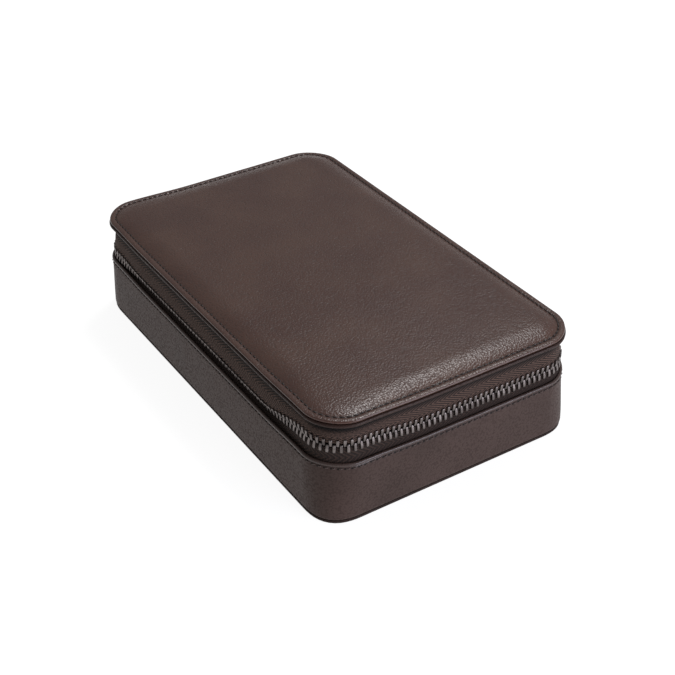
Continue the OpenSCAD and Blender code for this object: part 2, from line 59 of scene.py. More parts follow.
# Sizes of the case, from the frame
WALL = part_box("wall_leather")
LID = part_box("lid_leather")
CASE_L = WALL[1][0] - WALL[0][0]
CASE_W = WALL[1][1] - WALL[0][1]
RIM_Z = WALL[1][2]
WALL_LOW = WALL[0][2]
BOTTOM_IN = CASE_L / 2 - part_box("bottom_panel")[1][0]
LID_IN = CASE_L / 2 - LID[1][0]
LID_LOW = LID[0][2]
LID_TOP = LID[1][2]
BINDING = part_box("lid_binding")
BINDING_IN = CASE_L / 2 - BINDING[1][0]
BINDING_LOW, BINDING_TOP = BINDING[0][2], BINDING[1][2]
STITCH_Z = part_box("lid_stitching")[0][2]
RIM_STITCH_Z = (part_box("wall_stitching")[0][2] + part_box("wall_stitching")[1][2]) / 2
CHAIN_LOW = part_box("zip_teeth_lower")[0][2]
CHAIN_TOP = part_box("zip_teeth_upper")[1][2]
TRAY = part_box("tray_lining")
LID_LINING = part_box("lid_lining")

# How far in from the stitching the lid's foam thins out
CROWN_W = 10.5 * MM

# How the leather is pulled at the corners: fuller round the bottom, drawn in and up at the rim and the lid
LOW_CORNER_OUT = 1.3 * MM
RIM_CORNER_IN = 0.5 * MM
RIM_CORNER_RISE = 1.1 * MM
LID_CORNER_IN = 0.4 * MM
LID_CORNER_RISE = 0.9 * MM

# How the soft zip lies
CORNER_LIFT = 3.3 * MM
LIFT_REACH = 34 * MM
FRONT_LEAN = radians(24)
FRONT_DROP = 2.3 * MM
LEAN_REACH = 30 * MM
DROP_REACH = 60 * MM
TAPE_GROOVE = 1.5 * MM

# The finest grain and weave that show at this distance, where the real ones are about 0.5 mm
PEBBLE = 0.9 * MM
RIB_PITCH = 1.0 * MM

# Sizes that no box gives, as in the part's source
CORNER_R = 18 * MM
CHAIN_IN = 2.8 * MM
WALL_IN = 0.3 * MM
WALL_BACK = 1.6 * MM
RIM_R = 0.8 * MM
TAPE_T = 0.6 * MM
TAPE_GRIP = 2 * MM
TAPE_MARGIN = 8 * MM
TAPE_BEND = 1.5 * MM
TAPE_MARGIN_IN = 1.65 * MM
# How far down the upper tape the painted shade under the lid's edge reaches
SHADE_UNDER_LID_W = 5.2 * MM
LID_MARGIN_IN = 3 * MM
TAPE_TUCK_IN = LID_MARGIN_IN + TAPE_GROOVE * 0.8
TOOTH_PITCH = 2.75 * MM
TOOTH_W = 1.2 * MM
TOOTH_T = 2.4 * MM
TOOTH_OVERLAP = 0.8 * MM
TOOTH_CREASE = 38
POST_GAP = 0.9 * MM
STOP_TEETH = 2
STITCH_PITCH = 2.9 * MM
LID_STITCH_L = 2 * MM
RIM_STITCH_L = 1.6 * MM
THREAD_W = 0.55 * MM
HOLE_R = 0.45 * MM
LID_STITCH_IN = 2.7 * MM
BINDING_PROUD = 0.6 * MM
SOLE_PROUD = 0.4 * MM
TRAY_IN = 5.3 * MM
TRAY_INSIDE = 8.2 * MM
COVER_T = 1.2 * MM

# How far apart the stops of a path lie
FINE_STEP = 0.6 * MM
LEATHER_STEP = 1.6 * MM
TAPE_STEP = 2.5 * MM
LINING_STEP = 3 * MM

SIDE_X = CASE_L / 2 - CORNER_R
SIDE_Y = CASE_W / 2 - CORNER_R
ZIP_END_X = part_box("zip_tape_end_right")[0][0]

SCENE = bpy.context.scene
COLLECTION = SCENE.collection


# The photograph's view


def set_camera():
    """The camera that the photograph's outline of the lid, rim and bottom edge fits."""
    azimuth = radians(59.705)
    elevation = radians(33.987)
    roll = radians(-1.56)
    target = Vector((0.0287, -0.0370, 0.050))
    distance = 0.57335
    level = cos(elevation)
    back = Vector((sin(azimuth) * level, -cos(azimuth) * level, sin(elevation)))
    right = Vector((cos(azimuth), sin(azimuth), 0))
    up = back.cross(right)
    turned_right = right * cos(roll) + up * sin(roll)
    turned_up = up * cos(roll) - right * sin(roll)
    data = bpy.data.cameras.new("camera")
    data.sensor_width = 36
    data.lens = 70.27
    data.shift_x = 0.0774
    data.shift_y = -0.0244
    camera = bpy.data.objects.new("camera", data)
    turn = Matrix((turned_right, turned_up, back)).transposed().to_4x4()
    camera.matrix_world = Matrix.Translation(target + back * distance) @ turn
    COLLECTION.objects.link(camera)
    SCENE.camera = camera


def soft_light(name, direction, distance, size, power, colour="#ffffff"):
    """A square soft light that shines at the case from a direction."""
    data = bpy.data.lights.new(name, "AREA")
    data.size = size
    data.energy = power
    data.color = linear(colour)[:3]
    light = bpy.data.objects.new(name, data)
    place = Vector(direction).normalized() * distance
    light.rotation_euler = place.to_track_quat("Z", "Y").to_euler()
    light.location = place + Vector((0, 0, RIM_Z))
    COLLECTION.objects.link(light)


def set_studio():
    """A white floor under a pale sky, a soft light high behind the case and a weaker one beside it."""
    world = bpy.data.worlds.new("studio")
    world.use_nodes = True
    background = world.node_tree.nodes["Background"]
    background.inputs["Color"].default_value = (1, 1, 1, 1)
    background.inputs["Strength"].default_value = 0.38
    SCENE.world = world
    bpy.ops.mesh.primitive_plane_add(size=8)
    floor = bpy.context.object
    floor.name = "floor"
    floor.data.materials.append(painted_floor())
    soft_light("key_high_behind", (-0.24, 0.42, 0.88), 1.2, 0.32, 7)
    soft_light("fill_right", (0.9, 0.35, 0.2), 1.3, 0.9, 19, "#ecefff")
    SCENE.view_settings.view_transform = "Standard"


# Materials


def linear(colour):
    """A linear RGBA from an sRGB hex."""
    values = [int(colour[i:i + 2], 16) / 255 for i in (1, 3, 5)]
    return [v / 12.92 if v <= 0.04045 else ((v + 0.055) / 1.055) ** 2.4 for v in values] + [1]


def add(tree, kind, inputs=None, **settings):
    """Adds a node with its settings and its inputs, which are values or other nodes' outputs."""
    node = tree.nodes.new(kind)
    for key, value in settings.items():
        setattr(node, key, value)
    for key, value in (inputs or {}).items():
        if isinstance(value, bpy.types.NodeSocket):
            tree.links.new(value, node.inputs[key])
        else:
            node.inputs[key].default_value = value
    return node


def new_material(name, **sockets):
    """A material with a Principled shader, and its tree and shader."""
    material = bpy.data.materials.new(name)
    material.use_nodes = True
    tree = material.node_tree
    tree.nodes.clear()
    shader = add(tree, "ShaderNodeBsdfPrincipled", sockets)
    add(tree, "ShaderNodeOutputMaterial", {"Surface": shader.outputs[0]})
    return material, tree, shader


def shade(tree, shader, colour=None, rough=None, height=None, depth=None):
    """Links a colour, a roughness and a bump of a real depth to a shader."""
    if colour is not None:
        tree.links.new(colour, shader.inputs["Base Color"])
    if rough is not None:
        tree.links.new(rough, shader.inputs["Roughness"])
    if height is not None:
        bump = add(tree, "ShaderNodeBump", {"Strength": 1.0, "Distance": depth, "Height": height})
        tree.links.new(bump.outputs[0], shader.inputs["Normal"])


def mix(tree, factor, low, high):
    """A colour between two, which are hexes or sockets, by a factor."""
    low, high = [linear(colour) if isinstance(colour, str) else colour for colour in (low, high)]
    return add(tree, "ShaderNodeMix", {"Factor": factor, 6: low, 7: high}, data_type="RGBA").outputs[2]


def between(tree, factor, low, high):
    """A number between two, by a factor."""
    return add(tree, "ShaderNodeMix", {"Factor": factor, 2: low, 3: high}, data_type="FLOAT").outputs[0]


def calc(tree, operation, *values):
    """A sum on numbers or sockets."""
    return add(tree, "ShaderNodeMath", dict(enumerate(values)), operation=operation).outputs[0]


def ranged(tree, value, low, high, to_low=0.0, to_high=1.0):
    """A value carried from one range to another, held at its ends."""
    return add(tree, "ShaderNodeMapRange", {0: value, 1: low, 2: high, 3: to_low, 4: to_high}).outputs[0]


def own_place(tree):
    """Where a point lies in its object, in metres."""
    return add(tree, "ShaderNodeTexCoord").outputs["Object"]


def speckle(tree, place, size, detail=2.0, roughness=0.5):
    """Noise whose patches are about this size."""
    inputs = {"Vector": place, "Scale": 1 / size, "Detail": detail, "Roughness": roughness}
    return add(tree, "ShaderNodeTexNoise", inputs).outputs["Fac"]


def pebbled_leather(name, body="#432d27", crease="#1f1410", worn="#4b352d", gloss=0.24, shine=0.32,
                    relief=0.055 * MM, stitch_line=None, rubbed=0.0):
    """Drum-dyed cowhide, pressed with a fine pebbled grain and waxed: tight gloss that the grain breaks up.

    stitch_line is the (v, width, step) of a row of stitches, which pulls the leather in at each hole. Up to
    the v rubbed, the leather is polished by handling."""
    material, tree, shader = new_material(name, **{"IOR": 1.5, "Specular IOR Level": shine})
    place = own_place(tree)
    warp = add(tree, "ShaderNodeTexNoise", {"Vector": place, "Scale": 1 / (2 * MM)}).outputs["Color"]
    bent = add(tree, "ShaderNodeMix", {"Factor": 0.0012, 4: place, 5: warp}, data_type="VECTOR").outputs[1]
    away = add(tree, "ShaderNodeTexVoronoi", {"Vector": bent, "Scale": 1 / PEBBLE}).outputs["Distance"]
    dome = calc(tree, "SUBTRACT", 1.0, calc(tree, "MULTIPLY", calc(tree, "MULTIPLY", away, away), 2.2))
    tone = speckle(tree, place, 30 * MM, 3.0, 0.5)
    swell = speckle(tree, place, 2.2 * MM, 2.0, 0.5)
    patched = mix(tree, ranged(tree, tone, 0.35, 0.65), body, worn)
    coloured = mix(tree, ranged(tree, dome, 0.0, 0.4, 0.75, 1.0), crease, patched)
    uneven = calc(tree, "MULTIPLY", tone, 0.05)
    rough = calc(tree, "ADD", ranged(tree, dome, 0.0, 0.6, gloss + 0.15, gloss), uneven)
    height = calc(tree, "ADD", dome, calc(tree, "MULTIPLY", swell, 0.7))
    uv = add(tree, "ShaderNodeUVMap", uv_map="along")
    split = add(tree, "ShaderNodeSeparateXYZ", {0: uv.outputs[0]})
    if stitch_line:
        line, width, step = stitch_line
        along = calc(tree, "PINGPONG", split.outputs[0], step / 2)
        across = calc(tree, "ABSOLUTE", calc(tree, "SUBTRACT", split.outputs[1], line))
        # Painted shade: each stitch hole is coloured near black, standing in for the shade inside it
        hole = ranged(tree, calc(tree, "MAXIMUM", along, across), HOLE_R * 0.6, HOLE_R * 1.4, 1.0, 0.0)
        near = ranged(tree, across, width * 0.2, width, 1.0, 0.0)
        pull = calc(tree, "MULTIPLY", near, ranged(tree, along, 0.0, step / 2, 1.0, 0.3))
        height = calc(tree, "SUBTRACT", height, calc(tree, "MULTIPLY", pull, 2.6))
        coloured = mix(tree, hole, coloured, "#080403")
    if rubbed:
        polish = ranged(tree, split.outputs[1], rubbed * 0.8, rubbed, 1.0, 0.0)
        rough = between(tree, polish, rough, 0.2)
        height = between(tree, polish, height, 1.0)
    shade(tree, shader, coloured, rough, height, relief)
    return material


def herringbone_tape(name, ribs, sewn=None):
    """Polyester zip tape in a herringbone twill: matt, dark, with lighter raised ribs in slanting columns.

    Near the v sewn, where the tape folds in under the lid's edge, its colour is darkened to near black:
    painted shade under the lid."""
    material, tree, shader = new_material(name, **{"Specular IOR Level": 0.25})
    uv = add(tree, "ShaderNodeUVMap", uv_map="along")
    split = add(tree, "ShaderNodeSeparateXYZ", {0: uv.outputs[0]})
    column_w = 3.1 * MM
    rise = 0.42
    column = calc(tree, "PINGPONG", split.outputs[1], column_w)
    slant = calc(tree, "ADD", calc(tree, "MULTIPLY", split.outputs[0], rise), column)
    rib = calc(tree, "PINGPONG", calc(tree, "DIVIDE", slant, RIB_PITCH), 0.5)
    yarn = calc(tree, "PINGPONG", calc(tree, "DIVIDE", split.outputs[0], 0.6 * MM), 0.5)
    broken = calc(tree, "ADD", rib, calc(tree, "MULTIPLY", yarn, 0.4))
    raised = ranged(tree, broken, 0.2, 0.55)
    fuzz = speckle(tree, uv.outputs[0], 0.3 * MM)
    tone = mix(tree, raised, "#120b09", ribs)
    tone = mix(tree, calc(tree, "MULTIPLY", fuzz, 0.4), tone, "#2b1f1b")
    if sewn:
        # Painted shade: the tape darkens towards the v sewn, under the lid's overhanging edge
        from_seam = calc(tree, "ABSOLUTE", calc(tree, "SUBTRACT", split.outputs[1], sewn))
        painted_shade = ranged(tree, from_seam, SHADE_UNDER_LID_W * 0.5, SHADE_UNDER_LID_W, 1.0, 0.0)
        tone = mix(tree, painted_shade, tone, "#0f0907")
    rough = ranged(tree, fuzz, 0.0, 1.0, 0.75, 0.92)
    shade(tree, shader, tone, rough, raised, 0.2 * MM)
    return material


def waxed_thread(name, low, high):
    """Bonded polyester sewing thread, waxed: two plies twisted, with a slight gloss."""
    material, tree, shader = new_material(name)
    place = own_place(tree)
    fibre = speckle(tree, place, 0.35 * MM, 3.0, 0.6)
    tone = mix(tree, ranged(tree, fibre, 0.35, 0.65), low, high)
    shade(tree, shader, tone, ranged(tree, fibre, 0.0, 1.0, 0.5, 0.7), fibre, 0.05 * MM)
    return material


def antique_nickel():
    """Die-cut brass zip teeth, plated in black nickel and tumbled, so edges and faces vary in tone."""
    material, tree, shader = new_material("antique_nickel_plating", **{"Metallic": 1.0})
    place = own_place(tree)
    tumble = speckle(tree, place, 3.5 * MM, 2.0, 0.5)
    scuff = speckle(tree, place, 0.3 * MM)
    tone = mix(tree, ranged(tree, tumble, 0.2, 0.8), "#46403f", "#857d7a")
    rough = calc(tree, "ADD", ranged(tree, tumble, 0.3, 0.7, 0.3, 0.46), calc(tree, "MULTIPLY", scuff, 0.08))
    shade(tree, shader, tone, rough, scuff, 0.01 * MM)
    return material


def microsuede(name, low="#73604c", high="#87735b"):
    """Knitted microfibre suede, brushed: a short nap that lies one way or the other in soft patches."""
    material, tree, shader = new_material(name, **{
        "Sheen Weight": 0.5, "Sheen Roughness": 0.4, "Sheen Tint": linear("#c8b090"),
        "Specular IOR Level": 0.2,
    })
    place = own_place(tree)
    nap = speckle(tree, place, 9 * MM, 3.0, 0.6)
    fibre = speckle(tree, place, 0.35 * MM, 3.0, 0.7)
    tone = mix(tree, ranged(tree, nap, 0.35, 0.65), low, high)
    tone = mix(tree, ranged(tree, fibre, 0.4, 0.8, 0.0, 0.35), tone, low)
    shade(tree, shader, tone, ranged(tree, fibre, 0.0, 1.0, 0.85, 0.98), fibre, 0.08 * MM)
    return material


def grey_board():
    """Pressed grey fibreboard, with flecks of paper in it."""
    material, tree, shader = new_material("grey_fibreboard")
    place = own_place(tree)
    fleck = speckle(tree, place, 0.8 * MM, 4.0, 0.7)
    tone = mix(tree, ranged(tree, fleck, 0.4, 0.65), "#7a6c5c", "#94866f")
    shade(tree, shader, tone, ranged(tree, fleck, 0.0, 1.0, 0.8, 0.95), fleck, 0.05 * MM)
    return material


def cut_foam():
    """Open-cell polyurethane foam, cut with a hot wire, so its cells show as small pits."""
    material, tree, shader = new_material("open_cell_foam")
    place = own_place(tree)
    cell = add(tree, "ShaderNodeTexVoronoi", {"Vector": place, "Scale": 1 / (0.8 * MM)}).outputs["Distance"]
    tone = mix(tree, ranged(tree, cell, 0.1, 0.6), "#b8ad92", "#e0d8c3")
    shade(tree, shader, tone, None, cell, 0.15 * MM)
    shader.inputs["Roughness"].default_value = 0.95
    return material


def painted_floor():
    """Matt white acrylic, lit a little from below, as a photographer's shooting table is."""
    material, tree, shader = new_material("matt_white_floor", **{
        "Roughness": 0.9, "Specular IOR Level": 0.1,
        "Emission Color": linear("#ffffff"), "Emission Strength": 0.9,
    })
    place = own_place(tree)
    tone = mix(tree, speckle(tree, place, 0.5), "#7a7a7a", "#808080")
    shade(tree, shader, tone)
    return material


# Paths round the case. A stop on a path is (centre, normal, distance walked): a line that is inset
# from the rim passes the stop at centre + normal * (CORNER_R - inset).


def straight(start, end, normal, spacing):
    """Stops along one straight side, without its last."""
    start, end = Vector(start), Vector(end)
    count = max(1, ceil((end - start).length / spacing))
    return [(start.lerp(end, i / count), Vector(normal)) for i in range(count)]


def corner(index, spacing):
    """Stops round a corner, clockwise from its first side, without its last."""
    sign_x, sign_y = ((1, 1), (1, -1), (-1, -1), (-1, 1))[index]
    count = max(6, ceil(CORNER_R * pi / 2 / spacing))
    first = pi / 2 * (1 - index)
    angles = [first - pi / 2 * i / count for i in range(count)]
    centre = Vector((sign_x * SIDE_X, sign_y * SIDE_Y))
    return [(centre, Vector((cos(a), sin(a)))) for a in angles]


def measured(stops, inset):
    """Stops with the distance walked to each on the line of an inset."""
    walked = 0.0
    result = []
    last = None
    for centre, normal in stops:
        point = centre + normal * (CORNER_R - inset)
        if last is not None:
            walked += (point - last).length
        result.append((centre, normal, walked))
        last = point
    return result


def three_sides(spacing):
    """Stops from the hinge side's +X corner, clockwise round the short and front sides to its -X corner."""
    return (
        corner(0, spacing)
        + straight((SIDE_X, SIDE_Y), (SIDE_X, -SIDE_Y), (1, 0), spacing)
        + corner(1, spacing)
        + straight((SIDE_X, -SIDE_Y), (-SIDE_X, -SIDE_Y), (0, -1), spacing)
        + corner(2, spacing)
        + straight((-SIDE_X, -SIDE_Y), (-SIDE_X, SIDE_Y), (-1, 0), spacing)
        + corner(3, spacing)
    )


def whole_round(spacing):
    """Stops right round the case, from the hinge side's -X corner, closed on themselves."""
    first = straight((-SIDE_X, SIDE_Y), (SIDE_X, SIDE_Y), (0, 1), spacing)
    return first + three_sides(spacing) + first[:1]


def hinge_stretch(start, end, spacing):
    """Stops on the hinge side, from one x to another, with its last."""
    stops = straight((start, SIDE_Y), (end, SIDE_Y), (0, 1), spacing)
    return stops + [(Vector((end, SIDE_Y)), Vector((0, 1)))]


def zip_round(spacing):
    """Stops along the whole zip, from its +X end on the hinge side to its -X end."""
    return (
        straight((ZIP_END_X, SIDE_Y), (SIDE_X, SIDE_Y), (0, 1), spacing)
        + three_sides(spacing)
        + hinge_stretch(-SIDE_X, -ZIP_END_X, spacing)
    )


def zip_three_sides(spacing):
    """Stops along the part of the zip that opens with the lid."""
    return three_sides(spacing) + [(Vector((-SIDE_X, SIDE_Y)), Vector((0, 1)))]


def spot(centre, normal, inset):
    """The point of a stop at an inset. Past the corners' centres the outline shrinks to the middle line."""
    if inset <= CORNER_R:
        return centre + normal * (CORNER_R - inset)
    shrink = inset - CORNER_R
    return Vector((centre.x * (SIDE_X - shrink) / SIDE_X, centre.y * (SIDE_Y - shrink) / SIDE_Y))


def flowing(points, steps=4):
    """A smooth line through points, as (inset, z) pairs."""
    count = len(points)
    result = []
    for i in range(count - 1):
        four = [points[min(max(i + k, 0), count - 1)] for k in (-1, 0, 1, 2)]
        for s in range(steps):
            t = s / steps
            weights = (
                -0.5 * t + t * t - 0.5 * t ** 3,
                1 - 2.5 * t * t + 1.5 * t ** 3,
                0.5 * t + 2 * t * t - 1.5 * t ** 3,
                -0.5 * t * t + 0.5 * t ** 3,
            )
            result.append(tuple(sum(w * p[k] for w, p in zip(weights, four)) for k in (0, 1)))
    return result + [tuple(points[-1])]


def finished(obj, body, slot, material, *nodes):
    """Gives a piece its material, body and the nodes that it stands for. The slot is not used."""
    obj.data.materials.clear()
    obj.data.materials.append(material)
    if body:
        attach(obj, body)
    if nodes:
        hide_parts(*nodes)
    return obj


def mesh_object(name, mesh_data):
    """An object at the origin for a bmesh, which is freed."""
    mesh = bpy.data.meshes.new(name)
    mesh_data.to_mesh(mesh)
    mesh_data.free()
    obj = bpy.data.objects.new(name, mesh)
    COLLECTION.objects.link(obj)
    return obj


def applied(obj):
    """Applies a piece's modifiers."""
    evaluated = obj.evaluated_get(bpy.context.evaluated_depsgraph_get())
    mesh = bpy.data.meshes.new_from_object(evaluated)
    obj.modifiers.clear()
    obj.data = mesh
    return obj


def creased(obj, degrees):
    """Smooth faces, with the edges sharp that turn by more than an angle."""
    obj.data.shade_smooth()
    obj.data.set_sharp_from_angle(angle=radians(degrees))
    return obj


def lofted(name, sections):
    """A closed form through rings of points, smooth along its sides and flat at its two ends."""
    data = bmesh.new()
    rings = [[data.verts.new(point) for point in section] for section in sections]
    count = len(rings[0])
    for low, high in zip(rings, rings[1:]):
        for k in range(count):
            there = (k + 1) % count
            data.faces.new((low[k], low[there], high[there], high[k])).smooth = True
    data.faces.new(rings[0])
    data.faces.new(rings[-1])
    bmesh.ops.recalc_face_normals(data, faces=data.faces)
    return mesh_object(name, data)


def arc(inset, z, wide, high, first, last, steps):
    """Points (inset, z) on an arc round a centre, between two angles. 0 degrees lies inwards and 90 up."""
    angles = [radians(first + (last - first) * i / steps) for i in range(steps + 1)]
    return [(inset + wide * cos(a), z + high * sin(a)) for a in angles]


def swept(name, stops, profile, ring=False, shut_profile=True, ripple=None, pace=CHAIN_IN, start=0.0):
    """A profile of (inset, z) carried along a path, with a UV map in metres: u along, v across.

    ring joins the path's ends, shut_profile joins the profile's, ripple moves a point, given as
    (point, normal, inset), and u is measured from start on the line of the inset pace."""
    walk = measured(stops, pace)
    walk_points = walk[:-1] if ring else walk
    across = [0.0]
    for a, b in zip(profile, profile[1:] + profile[:1]):
        across.append(across[-1] + hypot(b[0] - a[0], b[1] - a[1]))
    data = bmesh.new()
    uv = data.loops.layers.uv.new("along")
    rows = []
    for centre, normal, _ in walk_points:
        section = []
        for inset, z in profile:
            flat = spot(centre, normal, inset)
            point = Vector((flat.x, flat.y, z))
            if ripple:
                point = ripple(point, Vector((normal.x, normal.y, 0)), inset)
            section.append(data.verts.new(point))
        rows.append(section)
    size = len(profile)
    last = size if shut_profile else size - 1
    for i in range(len(walk) - 1):
        here, there = rows[i], rows[(i + 1) % len(rows)]
        for j in range(last):
            k = (j + 1) % size
            face = data.faces.new((here[j], here[k], there[k], there[j]))
            face.smooth = True
            values = ((i, j), (i, j + 1), (i + 1, j + 1), (i + 1, j))
            for loop, (step, line) in zip(face.loops, values):
                loop[uv].uv = (start + walk[step][2], across[line])
    if shut_profile and not ring:
        data.faces.new(reversed(rows[0]))
        data.faces.new(rows[-1])
    bmesh.ops.remove_doubles(data, verts=data.verts, dist=1e-7)
    bmesh.ops.dissolve_degenerate(data, edges=data.edges, dist=1e-8)
    bmesh.ops.recalc_face_normals(data, faces=data.faces)
    return mesh_object(name, data)


def profile_length(profile, last):
    """The length of a profile from its start to one of its points."""
    return sum(hypot(b[0] - a[0], b[1] - a[1]) for a, b in zip(profile[:last], profile[1:last + 1]))


def path_length(stops, inset):
    """The length of a path on the line of an inset."""
    return measured(stops, inset)[-1][2]


# Leather: base and lid


def soft(point, size, amount):
    """A gentle unevenness at a point."""
    return noise.noise(point / size) * amount


def eased(value):
    """A share held between 0 and 1, with soft ends."""
    share = min(1.0, max(0.0, value))
    return share * share * (3 - 2 * share)


def near_front_corner(point):
    """1 round the two front corners, falling to 0 along the sides."""
    from_corner = max(0.0, SIDE_X - abs(point.x)) + max(0.0, point.y + SIDE_Y)
    return 1 - eased(from_corner / LIFT_REACH)


def pulled_base(point, normal):
    """Where the base's leather lies at a corner."""
    diagonal = (2 * normal.x * normal.y) ** 2
    high = eased(point.z / RIM_Z)
    out = diagonal * (LOW_CORNER_OUT * (1 - high) - RIM_CORNER_IN * high)
    return point + normal * out + Vector((0, 0, RIM_CORNER_RISE * high * near_front_corner(point)))


def pulled_lid(point, normal, inset=0.0):
    """Where the lid's leather lies at a corner, which matters less towards the lid's middle."""
    edge = 1 - eased((inset - LID_STITCH_IN) / CROWN_W)
    diagonal = (2 * normal.x * normal.y) ** 2
    rise = Vector((0, 0, LID_CORNER_RISE * near_front_corner(point)))
    return point + (rise - normal * LID_CORNER_IN * diagonal) * edge


def base_leather():
    """The wall's leather: turned in at the bottom, folded over at the rim with a rolled edge."""
    rim_mid = RIM_Z - RIM_R
    turn = WALL_BACK - WALL_IN
    roll = arc(RIM_R, rim_mid, RIM_R, RIM_R, 0, 180, 9)
    stitch_valley = (0.36 * MM, RIM_STITCH_Z)
    fold = flowing([
        (0, rim_mid), (0.08 * MM, rim_mid - 0.45 * MM), (0.68 * MM, rim_mid - 0.9 * MM),
        (0.4 * MM, rim_mid - 1.3 * MM), stitch_valley, (0.27 * MM, RIM_STITCH_Z - 0.7 * MM),
        (0.24 * MM, RIM_STITCH_Z - 3 * MM), (0.22 * MM, 18 * MM), (0.24 * MM, 10 * MM), (0.3 * MM, 5 * MM),
        (WALL_IN, WALL_LOW + turn),
    ])
    profile = roll[:-1] + fold + arc(WALL_BACK, WALL_LOW + turn, -turn, -turn, 15, 90, 5)

    def ripple(point, normal, inset):
        point = pulled_base(point, normal)
        if inset < WALL_BACK * 0.7:
            point = point + normal * soft(point, 22 * MM, 0.08 * MM)
        return point

    stops = whole_round(LEATHER_STEP)
    step = stitch_step(WALL_IN)
    line = profile_length(profile, profile.index(stitch_valley))
    dye = {"body": "#372a26", "crease": "#1c120f", "worn": "#3e302c"}
    leather = pebbled_leather("pebbled_leather_wall", gloss=0.45, shine=0.13, relief=0.03 * MM,
                              stitch_line=(line, 1.0 * MM, step), **dye)
    rolled = pebbled_leather("pebbled_leather_rim", gloss=0.24, shine=0.34, relief=0.01 * MM, **dye)
    obj = swept("base_leather", stops, profile, ring=True, ripple=ripple, pace=WALL_IN)
    finished(obj, "base", "leather", leather, "wall_leather")
    obj.data.materials.append(rolled)
    for face in obj.data.polygons:
        if face.center.z > rim_mid - 0.2 * MM:
            face.material_index = 1
    return obj


def bottom_leather():
    """The bottom panel, with its edge rounded over."""
    top = WALL_LOW
    edge = BOTTOM_IN - SOLE_PROUD
    low_r, high_r = 0.5 * MM, 0.35 * MM
    nose = arc(edge + low_r, low_r, low_r, low_r, -90, -180, 3)
    shoulder = arc(edge + high_r, top - high_r, high_r, high_r, 180, 90, 3)
    middle = CASE_W / 2
    profile = [(middle, 0.0), (CORNER_R, 0.0)] + nose + shoulder + [(CORNER_R, top), (middle, top)]

    def ripple(point, normal, inset):
        return pulled_base(point, normal) if inset < CORNER_R / 2 else point

    # Darker than the wall: partly the panel's own tone, partly painted shade along the bottom edge
    leather = pebbled_leather("pebbled_leather_bottom", body="#211714", worn="#281c19", gloss=0.5, shine=0.1)
    stops = whole_round(TAPE_STEP)
    obj = swept("bottom_leather", stops, profile, ring=True, shut_profile=False, ripple=ripple)
    return finished(obj, "base", "leather", leather, "bottom_panel")


def lid_leather():
    """The lid's padded top: a rolled edge, a stitched valley, then the rise over the foam."""
    nose_r = (STITCH_Z - LID_LOW) / 2
    nose_z = LID_LOW + nose_r
    valley = LID_IN + LID_STITCH_IN + THREAD_W / 2
    foam_from = valley + 0.5 * MM
    hold = foam_from + 0.6 * MM
    dish = 0.35 * MM
    low, high = STITCH_Z + 0.16 * MM, LID_TOP - dish
    sewn = (valley, STITCH_Z - 0.2 * MM)
    under = [(LID_MARGIN_IN, LID_LOW + 0.3 * MM), (LID_MARGIN_IN, LID_LOW)]
    nose = arc(LID_IN + nose_r, nose_z, nose_r, nose_r, -90, -240, 10)
    shoulder = flowing([
        nose[-1], (LID_IN + 1.3 * MM, STITCH_Z + 0.06 * MM), (LID_IN + 2 * MM, STITCH_Z + 0.04 * MM),
        (valley - 0.35 * MM, STITCH_Z - 0.08 * MM), sewn, (valley + 0.4 * MM, STITCH_Z - 0.05 * MM),
        (hold, low),
    ])
    steepness, climb_steps, flat_steps = 2.2, 18, 16
    climb = [
        (hold + CROWN_W * t, low + (high - low) * (1 - (1 - t) ** steepness))
        for t in [i / climb_steps for i in range(1, climb_steps + 1)]
    ]
    flat_start = climb[-1][0]
    middle = CASE_W / 2
    plain = [
        (flat_start + (middle - flat_start) * t, LID_TOP - dish * (1 - t) ** 2)
        for t in [i / flat_steps for i in range(1, flat_steps + 1)]
    ]
    profile = under + nose + shoulder[1:] + climb + plain

    def ripple(point, normal, inset):
        if inset > foam_from:
            depth = min(1.0, (inset - foam_from) / (6 * MM))
            uneven = soft(point, 30 * MM, 0.22 * MM) + soft(point, 9 * MM, 0.05 * MM)
            point = point + Vector((0, 0, depth * uneven))
        elif inset < valley:
            point = point + normal * soft(point, 14 * MM, 0.06 * MM)
        return pulled_lid(point, normal, inset)

    line = profile_length(profile, profile.index(sewn))
    rubbed = profile_length(profile, len(under) + len(nose))
    stitch_line = (line, 1.3 * MM, stitch_step(valley))
    leather = pebbled_leather("pebbled_leather_lid", stitch_line=stitch_line, rubbed=rubbed)
    obj = swept("lid_leather_top", whole_round(LEATHER_STEP), profile, ring=True, shut_profile=False,
                ripple=ripple, pace=valley)
    return finished(obj, "lid", "leather", leather, "lid_leather")


def lid_binding():
    """The leather binding under the lid's edge, rolled over a cord."""
    r = (BINDING_TOP - BINDING_LOW) / 2
    back = LID_MARGIN_IN - 0.05 * MM
    # Its underside reaches in and down to where the tape is drawn in under it
    under = (TAPE_TUCK_IN, BINDING_LOW - 0.2 * MM)
    front = BINDING_IN - BINDING_PROUD
    profile = [under] + arc(front + r, BINDING_LOW + r, r, r, -90, -270, 12) + [(back, BINDING_TOP)]

    def ripple(point, normal, inset):
        # Where it meets the tape it stays down, so that it covers the board's edge at the corners
        if inset > back:
            return point
        return pulled_lid(point, normal) + normal * soft(point, 12 * MM, 0.05 * MM)

    obj = swept("lid_binding_roll", whole_round(LEATHER_STEP), profile, ring=True, ripple=ripple)
    # Its colour is darker than the lid's: painted shade under the lid's edge
    leather = pebbled_leather(
        "pebbled_leather_binding", body="#2a1c18", worn="#31221d", gloss=0.36, shine=0.15,
    )
    return finished(obj, "lid", "leather", leather, "lid_binding")


